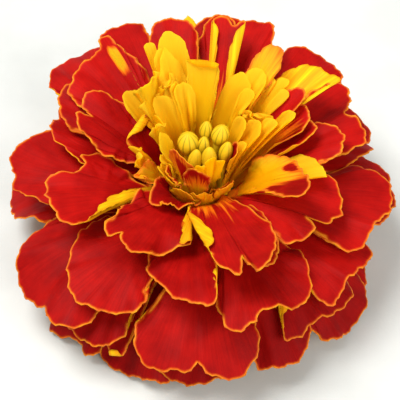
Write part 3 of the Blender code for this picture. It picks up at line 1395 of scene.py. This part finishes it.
def small(
    name: str, around: float, tier: float, length: float, width: float, **look: Any
) -> tuple[str, Seat, Look]:
    """Sets down one floret past those that the frame holds.

    Args:
        name: its name.
        around: degrees round the axis.
        tier: the sheet it stands on.
        length: in millimetres.
        width: in millimetres.
        look: the settings of its look.

    Returns:
        Its name, seat and look.
    """
    return name, Seat(around, tier, length, width), Look(**look)


FURTHER: tuple[tuple[str, Seat, Look], ...] = (
    # red ones between the whorls
    small(
        "tucked_ray_01", -117, 0.12, 23.5, 6,
        outline=(
            (-3, 14), (-3, 19), (-2.4, 20.4), (-2.2, 22.5), (-1.6, 23.6), (-0.8, 25.0), (0.6, 24.6),
            (0.9, 23.2), (1.2, 21), (1.4, 15),
        ),
        creases=(Crease((1.0, 22.9), (-1.6, 23.7)),), tone=0.6,
    ),
    small("tucked_ray_02", 146, 0.49, 23.5, 10, tone=0.4),
    small("tucked_ray_03", 84, 0.55, 27.0, 9, tone=0.4),
    small(
        "tucked_ray_04", 81, 0.65, 26, 4.6,
        rolls=(Roll(ACW, 0.2, 130, (0.3, 1.3)), Roll(CW, 0.6, 80)), flame=0.5, ruffle=2.0,
    ),
    small(
        "tucked_ray_05", 76, 0.69, 25.4, 6.0,
        outline=(
            (-2.8, 14), (-4, 20), (-3.8, 23.6), (-2.2, 25.4), (-0.6, 24.2), (0.6, 25.6), (2.4, 25.2),
            (3.9, 23.2), (3.8, 20), (2.6, 14),
        ),
        creases=(Crease((-2.3, 26), (-1.2, 12)), Crease((1.2, 12), (2.4, 26))), flame=0.55, sway=2,
        tone=0.8,
    ),
    small(
        "tucked_ray_06", -13, 0.60, 18.5, 7,
        outline=(
            (1, 11), (0.2, 15), (-0.3, 17), (-0.9, 18.6), (0.4, 18), (2.2, 16.7), (4, 15.1), (4.7, 13.4),
            (4.6, 11),
        ),
        flame=1.9, tone=1.0,
    ),
    small("tucked_ray_07", 14, 0.66, 18, 6, flame=0.5, cup=0.6),
    small("tucked_ray_08", 28, 0.73, 20.2, 4.8, flame=0.35, cup=0.7, tone=0.9),
    small("tucked_ray_09", 110, 0.76, 18.6, 4.0, flame=0.35, cup=0.5, tone=0.9),
    # rear and side of the crest
    small("crest_strap_01", 94, 0.53, 28, 4, flame=1.7, point=0.8),
    small("crest_strap_02", 113, 0.81, 21.4, 3.2, flame=1.9, cup=0.3, point=0.3, tone=0.9),
    small("crest_strap_03", 111, 0.83, 21.6, 5.0, flame=1.5, cup=0.4, point=0.9, tone=1.0),
    small("crest_strap_04", 117, 0.84, 18.0, 4.4, flame=1.5, rolls=(HOODED,), tone=0.6),
    small("crest_strap_05", 108, 0.92, 16.6, 4.0, flame=1.5, rolls=TROUGH, tone=0.2),
    small("crest_strap_06", 114, 0.90, 16.8, 2.6, flame=1.5, rolls=QUILL, tone=1.0),
    small("crest_strap_07", 117, 0.77, 22.4, 2.4, flame=1.9, rolls=QUILL),
    small("crest_strap_08", 137, 0.71, 16.4, 5.6, flame=1.7, rolls=TROUGH, tone=0.3),
    small("crest_strap_09", 148, 0.90, 13.4, 3.0, flame=1.9, rolls=(HOODED,), tone=1.0),
    small("crest_strap_10", 127, 0.86, 15.0, 3.6, flame=1.8, cup=0.5, tone=0.0),
    small("crest_strap_11", 58, 0.80, 15.5, 3.4, flame=1.5, cup=0.4, tone=0.1),
    small("crest_strap_12", 46, 0.87, 16.8, 3.0, flame=1.8, rolls=QUILL, tone=1.0),
    small(
        "crest_strap_13", 53, 0.77, 19.1, 4.0,
        flame=1.5, cup=0.6, blazes=((-0.5, 0.2, 0.8, 0.5, -1.2),),
    ),
    small("crest_strap_14", 40, 0.73, 19.7, 5.6, flame=1.5, cup=0.6, notches=LOBED, tone=0.2),
    small("crest_strap_15", 33, 0.92, 13.2, 3.2, flame=1.8, rolls=TROUGH, tone=0.9),
    small("crest_strap_16", 22, 0.86, 13.8, 3.6, flame=1.8, rolls=TROUGH),
    small("crest_strap_17", 17, 0.82, 15.4, 3.2, flame=1.8, rolls=TROUGH, tone=0.9),
    small("crest_strap_18", 38, 0.83, 14.2, 3.4, flame=1.4, rolls=(HOODED,)),
    small("crest_strap_19", 27, 0.79, 15.2, 3.4, flame=1.3, rolls=(HOODED,)),
    small("crest_strap_20", 15, 0.78, 18.2, 3.0, flame=1.8, rolls=QUILL, tone=1.0),
    small("crest_strap_21", 20, 0.69, 18.6, 6.5, flame=0.8, rolls=TROUGH),
    small("crest_strap_22", 0, 0.99, 11.2, 3.6, flame=0.12, cup=0.4, tone=0.1),
    small("crest_strap_23", 26, 0.82, 9.6, 3.0, flame=1.8, rolls=TROUGH),
    # front and left of the crest, and the low ring round the disc
    small("crest_curl_02", 176, 0.76, 11.6, 3.4, flame=1.9, turned_out=True, rolls=(HOODED,)),
    small("crest_curl_03", 186, 0.80, 9.0, 4.0, flame=1.1, rolls=(ARCHED,)),
    small("crest_curl_04", 173, 1.0, 13.4, 4.4, flame=1.9, point=0.8, tone=0.8),
    small("crest_curl_05", 188, 0.96, 9.6, 4.4, flame=1.5, notches=LOBED),
    small("crest_curl_06", 206, 0.92, 9.5, 5.0, flame=1.4, notches=LOBED),
    small(
        "crest_curl_07", -127, 1.03, 14.2, 5.2,
        flame=1.0, turned_out=True, blazes=((0.0, 0.3, 0.9, 0.3, -0.6),),
    ),
    small("crest_curl_08", -96, 1.0, 13.4, 4.6, flame=0.75, turned_out=True, tone=0.7, point=0.7),
    small("crest_curl_09", -69, 1.04, 12.9, 5.2, flame=1.6, notches=LOBED),
    small("crest_curl_10", -132, 0.84, 9.0, 8.6, flame=0.42, rolls=(ARCHED,), tone=0.0, cup=0.8),
    small("crest_curl_14", -50, 0.90, 8.4, 3.8, flame=0.9),
    small("crest_curl_15", -148, 0.92, 9.0, 5.4, flame=0.8, rolls=(ARCHED,)),
    small("crest_curl_16", 10, 0.93, 10.6, 2.4, flame=1.9, rolls=TROUGH),
    # the low tones of the throat florets are painted shade in their red
    small("throat_ray_06", -118, 0.90, 7.0, 5.0, flame=0.5, tone=0.2),
    small("throat_ray_07", -86, 0.90, 6.8, 5.0, flame=0.45, tone=0.2),
    small("throat_ray_08", -54, 0.90, 6.8, 5.0, flame=0.45, tone=0.2),
    small("throat_ray_09", -145, 0.76, 6.5, 5.0, flame=0.4, tone=0.1),
)


@dataclass
class Corolla:
    """All the ray florets, laid one on another from the lowest tier to the highest.

    fullness: how much wider a ruffled blade is than its solid. gold_from and flame_from: the tiers from which
    florets belong to the crest and to the orange whorl; neither is used.
    """

    sheets: Sheets = field(default_factory=Sheets)
    finish: PetalFinish = field(default_factory=PetalFinish)
    fullness: float = 1.07
    gold_from: float = 0.68
    flame_from: float = 0.48

    def seat_of(self, node: str) -> Seat:
        """Reads a floret's seat from its solid in the frame.

        Args:
            node: the solid's name.

        Returns:
            Its place and size.
        """
        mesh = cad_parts[node].data
        points = np.empty(len(mesh.vertices) * 3, np.float32)
        mesh.vertices.foreach_get("co", points)
        points = points.reshape(-1, 3).astype(float) / MM
        turn, along, tier = self.sheets.locate(points)
        blade = along > 0.5 * along.max()
        middle = np.degrees(np.angle(np.exp(1j * np.radians(turn[blade])).mean()))
        aside = (turn - middle + 180) % 360 - 180
        middle += (aside[blade].max() + aside[blade].min()) / 2
        aside = (turn - middle + 180) % 360 - 180
        radius = np.hypot(points[:, 0], points[:, 1])
        width = 2 * (np.radians(np.abs(aside)) * radius).max()
        return Seat(float(middle), float(np.median(tier)), float(along.max()), float(width) * self.fullness)

    def flame_of(self, seat: Seat) -> float:
        """How far up a plain floret of this tier is orange and yellow."""
        return float(np.interp(seat.tier, [0.0, 0.45, 0.62, 0.70, 0.80], [0.05, 0.15, 0.34, 0.75, 1.4]))

    def build(self) -> None:
        """Builds every ray floret and puts each in place of its solid."""
        skin = self.finish.material()
        pile = Pile(self.sheets)
        florets = []
        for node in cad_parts:
            if "_ray_" in node:
                florets.append((node, self.seat_of(node), LOOKS.get(node, Look())))
        florets.extend(FURTHER)
        for name, seat, look in sorted(florets, key=lambda floret: floret[1].tier):
            flame = self.flame_of(seat) if look.flame is None else look.flame
            floret = RayFloret(f"{name}_petal", seat, replace(look, flame=flame), seed=crc32(name.encode()))
            made = floret.build(pile, skin)
            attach(made, BODY)
            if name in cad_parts:
                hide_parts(name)
            log.info("%s: tier %.2f, %.0f x %.0f mm", made.name, seat.tier, seat.length, seat.width)


# The disc, the cup and the stem


def tube_object(
    name: str, rings: Array, values: Mapping[str, Array], skin: bpy.types.Material
) -> bpy.types.Object:
    """A closed tube through rings of points, with a point at each end.

    Args:
        name: the object's name.
        rings: points by ring and place round it, going up the outside anticlockwise.
        values: what each point holds for the material, in the same layout.
        skin: its material.

    Returns:
        The new object.
    """
    count, sides = rings.shape[:2]
    ends = np.stack([rings[0].mean(0), rings[-1].mean(0)])
    points = np.concatenate([rings.reshape(-1, 3), ends])
    index = np.arange(count * sides).reshape(count, sides)
    after = np.roll(index, -1, axis=1)
    faces = np.stack([index[:-1], after[:-1], after[1:], index[1:]], axis=-1).reshape(-1, 4).tolist()
    faces += [(count * sides, int(b), int(a)) for a, b in zip(index[0], after[0])]
    faces += [(count * sides + 1, int(a), int(b)) for a, b in zip(index[-1], after[-1])]
    held = {k: np.concatenate([v.ravel(), [v[0].mean(), v[-1].mean()]]) for k, v in values.items()}
    return mesh_object(name, points, faces, held, skin)


@dataclass(frozen=True)
class Bud:
    """An unopened disc floret, in millimetres.

    foot and head: where it stands and where its top leans to, from the axis. top: the height of its top.
    radius and height: those of its swollen head. lobes: how many it is ribbed into.
    depth: how deep the grooves between them are, as a share of the radius.
    """

    name: str
    foot: Point
    head: Point
    top: float
    radius: float
    height: float
    lobes: int = 5
    depth: float = 0.07


@dataclass
class Disc:
    """The tight cluster of unopened florets in the middle.

    tube: the radius of a bud's tube. sunk: how far its foot stands in the receptacle. sides, tube_rows and
    head_rows: the points of a bud's mesh.
    """

    sheets: Sheets = field(default_factory=Sheets)
    finish: BudFinish = field(default_factory=BudFinish)
    tube: float = 0.75
    sunk: float = 0.5
    sides: int = 60
    tube_rows: int = 10
    head_rows: int = 26
    buds: tuple[Bud, ...] = (
        Bud("disc_floret_01", (-1.8, 1.0), (-1.9, 2.5), 28.0, 1.75, 4.2, 9, 0.05),
        Bud("disc_floret_02", (1.6, 1.4), (3.6, 3.4), 28.8, 1.45, 3.6, 9, 0.05),
        Bud("disc_floret_03", (1.3, -1.8), (1.5, -0.4), 28.0, 1.25, 5.4, 5, 0.03),
        Bud("disc_floret_04", (-1.7, -1.9), (-0.5, -0.4), 27.4, 1.15, 5.0, 5, 0.03),
        Bud("disc_bud_05", (0.2, 2.6), (1.1, 4.3), 28.8, 1.05, 3.8, 7, 0.05),
        Bud("disc_bud_06", (0.0, 0.0), (0.7, 2.3), 27.4, 1.0, 3.6, 5, 0.05),
        Bud("disc_bud_07", (3.0, -0.4), (4.5, 1.0), 27.6, 1.15, 4.4, 5, 0.04),
        Bud("disc_bud_08", (-0.2, -3.0), (1.2, -2.6), 26.4, 1.05, 3.8, 5, 0.04),
    )

    def build(self) -> None:
        """Builds the buds, and puts the first ones in place of their solids."""
        skin = self.finish.material()
        for bud in self.buds:
            made = self.bud(bud, skin)
            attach(made, BODY)
            if bud.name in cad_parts:
                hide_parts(bud.name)
            log.info("%s: %.1f mm wide", made.name, 2 * bud.radius)

    def bud(self, bud: Bud, skin: bpy.types.Material) -> bpy.types.Object:
        """One bud on its tube.

        Args:
            bud: its place and size.
            skin: its material.

        Returns:
            The new object.
        """
        sides, low, neck = self.sides, self.tube_rows, bud.top - bud.height
        out = math.hypot(*bud.foot) ** 2 / self.sheets.root_radius**2
        foot = self.sheets.level + self.sheets.root_height * math.sqrt(1 - out) - self.sunk
        turn = np.linspace(0, 2 * np.pi, sides, endpoint=False)
        rise = np.linspace(0, 1, self.head_rows)
        swell = np.sin(np.pi * np.clip(0.06 + 0.94 * rise, 0, 1) ** 1.25) ** 0.62
        radii = np.concatenate([np.full(low, self.tube), np.maximum(bud.radius * swell, 0.02)])
        radii[low : low + 6] = np.maximum(radii[low : low + 6], self.tube)
        heights = np.concatenate([np.linspace(foot, neck, low, endpoint=False), neck + bud.height * rise])
        share = np.clip((heights - foot) / (bud.top - foot), 0, 1) ** 1.3
        crease = np.abs(np.cos(turn * bud.lobes / 2)) ** 7
        head = np.concatenate([np.zeros(low), np.clip(rise * 3, 0, 1)])
        radius = radii[:, None] * (1 - bud.depth * crease[None] * head[:, None])
        x = bud.foot[0] + (bud.head[0] - bud.foot[0]) * share
        y = bud.foot[1] + (bud.head[1] - bud.foot[1]) * share
        level = np.repeat(heights[:, None], sides, axis=1)
        ring = x[:, None] + radius * np.cos(turn), y[:, None] + radius * np.sin(turn), level
        rings = np.stack(ring, axis=-1)
        values = {
            "groove": crease[None] * head[:, None] * min(1.0, bud.depth / 0.05),
            "along": np.repeat(share[:, None], sides, axis=1),
        }
        return tube_object(f"{bud.name}_head", rings, values, skin)


@dataclass
class GreenParts:
    """The cup of joined bracts, the stem stub and the receptacle.

    ribs: how many bracts are joined in the cup. stem_ribs: the ridges of the stem.
    rib_depth and ridge_depth: how far those stand out, as shares of the radius.
    sides: the points round each piece. pith: the radius of the hollow in the stem's cut end.
    tooth: millimetres that the bracts' tips stand above the rim between them.
    lip: how far the rim turns in, as a share of the mouth.
    swell: shares of the cup's height, and its radius there as a share of its mouth.
    """

    cup: GreenFinish = GreenFinish("cup_green", (0.035, 0.085, 0.012), (0.11, 0.20, 0.035), 24.0, True)
    stem: GreenFinish = GreenFinish("stem_green", (0.05, 0.11, 0.015), (0.14, 0.22, 0.045), 16.0)
    # bed: a dark olive brown that is painted shade; the real receptacle is pale green, but it shows only in
    # the shaded gaps between the florets
    bed: GreenFinish = GreenFinish("bed_painted_shade", (0.035, 0.026, 0.005), (0.09, 0.06, 0.010), 20.0)
    ribs: int = 12
    stem_ribs: int = 8
    rib_depth: float = 0.022
    ridge_depth: float = 0.035
    sides: int = 144
    pith: float = 0.8
    tooth: float = 0.9
    lip: float = 0.5
    swell: tuple[Point, ...] = (
        (0.0, 0.34), (0.06, 0.44), (0.24, 0.70), (0.5, 0.88), (0.78, 0.96), (1.0, 0.99),
    )

    def build(self) -> None:
        """Builds the cup and the stem in place of their solids, and dresses the receptacle in a dark olive
        brown, painted shade for the gaps between the florets.
        """
        self.build_cup()
        self.build_stem()
        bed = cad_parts["receptacle"]
        bed.data.materials.clear()
        bed.data.materials.append(self.bed.material())
        self.hold_turn(bed)
        log.info("receptacle: dressed")

    def hold_turn(self, piece: bpy.types.Object) -> None:
        """Stores on a solid's vertices what its green finish reads.

        Args:
            piece: the solid.
        """
        points = np.array([v.co for v in piece.data.vertices])
        turn = np.arctan2(points[:, 1], points[:, 0]) / (2 * np.pi)
        for key, value in (("turn", turn), ("along", points[:, 2] / MM / 10)):
            held = piece.data.attributes.new(key, "FLOAT", "POINT")
            held.data.foreach_set("value", value.astype(np.float32))

    def ring_values(self, rings: Array) -> dict[str, Array]:
        """What a turned green piece holds for its finish, from its rings of points."""
        turn = np.arctan2(rings[..., 1], rings[..., 0]) / (2 * np.pi)
        return {"turn": turn, "along": rings[..., 2] / 10}

    def place(self, made: bpy.types.Object, node: str, slot: str) -> None:
        """Puts a new piece in place of a solid.

        Args:
            made: the new piece.
            node: the solid's name.
            slot: its material slot; not used.
        """
        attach(made, BODY)
        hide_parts(node)
        log.info("%s for %s", made.name, node)

    def build_cup(self) -> None:
        """The cup: ribbed, narrow at the stem, with a ring of teeth that lie against the lowest florets."""
        low, high = (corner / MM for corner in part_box("involucre"))
        mouth = (high.x - low.x) / 2
        turn = np.linspace(0, 2 * np.pi, self.sides, endpoint=False)
        rise = np.concatenate([np.linspace(0, 1, 30), np.full(5, 1.0)])
        inward = np.concatenate([np.zeros(30), np.linspace(0.04, self.lip, 5)])
        wide = np.interp(rise, *zip(*self.swell))
        rib = np.cos(turn * self.ribs)
        bulge = np.sin(np.pi * rise)[:, None] ** 0.5
        radius = mouth * (wide - inward)[:, None] * (1 + self.rib_depth * rib[None] * bulge)
        teeth = self.tooth * (0.5 + 0.5 * rib)[None] - 0.6
        height = low.z + (high.z - low.z) * rise[:, None] + teeth * (rise**6)[:, None]
        height = height - inward[:, None] * 1.2
        rings = np.stack([radius * np.cos(turn), radius * np.sin(turn), height], axis=-1)
        made = tube_object("bract_cup", rings, self.ring_values(rings), self.cup.material())
        self.place(made, "involucre", "green_bract")

    def build_stem(self) -> None:
        """The stem stub: ribbed, with a pithy hollow in its cut end."""
        low, high = (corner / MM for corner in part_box("stem_stub"))
        wide = (high.x - low.x) / 2
        narrow = wide * 0.74
        turn = np.linspace(0, 2 * np.pi, self.sides, endpoint=False)
        depth = (high.z - low.z) * 0.5
        profile = [(0.3, low.z + depth), (self.pith * 0.9, low.z + depth * 0.8), (self.pith, low.z + 0.1)]
        profile += [(self.pith * 1.08, low.z + 0.02), (narrow * 0.95, low.z), (narrow, low.z + 0.08)]
        for step in range(1, 13):
            share = step / 12
            profile.append((narrow + (wide - narrow) * share**2.2, low.z + 0.08 + (high.z - low.z) * share))
        rib = 1 + self.ridge_depth * np.cos(turn * self.stem_ribs)
        rings = []
        for number, (radius, height) in enumerate(profile):
            wall = radius * (rib if number > 3 else np.ones_like(rib))
            ring = wall * np.cos(turn), wall * np.sin(turn), np.full_like(turn, height)
            rings.append(np.stack(ring, axis=-1))
        rings = np.array(rings)
        made = tube_object("cut_stem", rings, self.ring_values(rings), self.stem.material())
        self.place(made, "stem_stub", "green_stem")


# The studio


@dataclass
class Studio:
    """The pale floor, the soft lights and the camera, in metres and watts.

    aim: what the camera and the lights face. elevation: degrees that the camera looks down.
    distance: from the aim to the camera. lens: its focal length in millimetres.
    key and fill: the power of the two lamps, and key_place and fill_place: where they are.
    sky: the strength of the light from all round. floor_half: half the side of the floor.
    """

    aim: tuple[float, float, float] = (0.0, 0.0, 0.014)
    elevation: float = 52.0
    distance: float = 0.222
    lens: float = 120.0
    key: float = 4.2
    key_place: tuple[float, float, float] = (-0.21, 0.03, 0.56)
    fill: float = 2.6
    fill_place: tuple[float, float, float] = (0.35, -0.40, 0.35)
    sky: float = 0.52
    floor_half: float = 3.0

    def build(self) -> None:
        """Sets up the floor, the lights and the camera."""
        self.floor()
        self.light("key_light", self.key_place, 0.30, self.key)
        self.light("fill_light", self.fill_place, 0.40, self.fill)
        world = bpy.data.worlds.new("studio")
        bpy.context.scene.world = world
        world.use_nodes = True
        world.node_tree.nodes["Background"].inputs["Color"].default_value = (1.0, 1.0, 1.0, 1.0)
        world.node_tree.nodes["Background"].inputs["Strength"].default_value = self.sky
        bpy.context.scene.view_settings.view_transform = "Standard"
        self.camera()

    def floor(self) -> None:
        """A pale floor, wide enough for every view."""
        half = self.floor_half
        corners = [(-half, -half, 0), (half, -half, 0), (half, half, 0), (-half, half, 0)]
        mesh = bpy.data.meshes.new("floor")
        mesh.from_pydata(corners, [], [(0, 1, 2, 3)])
        mesh.materials.append(PaperFinish().material())
        made = bpy.data.objects.new("floor", mesh)
        bpy.context.scene.collection.objects.link(made)

    def light(self, name: str, place: tuple[float, float, float], size: float, power: float) -> None:
        """One soft square light that faces the flower.

        Args:
            name: its name.
            place: where it is, in metres.
            size: its side, in metres.
            power: in watts.
        """
        lamp = bpy.data.lights.new(name, "AREA")
        lamp.size = size
        lamp.energy = power
        made = bpy.data.objects.new(name, lamp)
        made.location = place
        made.rotation_euler = (Vector(self.aim) - Vector(place)).to_track_quat("-Z", "Y").to_euler()
        bpy.context.scene.collection.objects.link(made)

    def camera(self) -> None:
        """A long lens that looks down on the flower from its front."""
        lens = bpy.data.cameras.new("camera")
        lens.lens = self.lens
        lens.sensor_width = 36.0
        lens.clip_start = 0.01
        made = bpy.data.objects.new("camera", lens)
        angle = math.radians(self.elevation)
        away = Vector((0.0, -math.cos(angle), math.sin(angle))) * self.distance
        made.location = Vector(self.aim) + away
        made.rotation_euler = (-away).to_track_quat("-Z", "Y").to_euler()
        bpy.context.scene.collection.objects.link(made)
        bpy.context.scene.camera = made


def main() -> None:
    """Builds the flower and the studio."""
    logging.basicConfig(level=logging.INFO, format="%(message)s")
    Corolla().build()
    Disc().build()
    GreenParts().build()
    Studio().build()


if __name__ == "__main__":
    main()
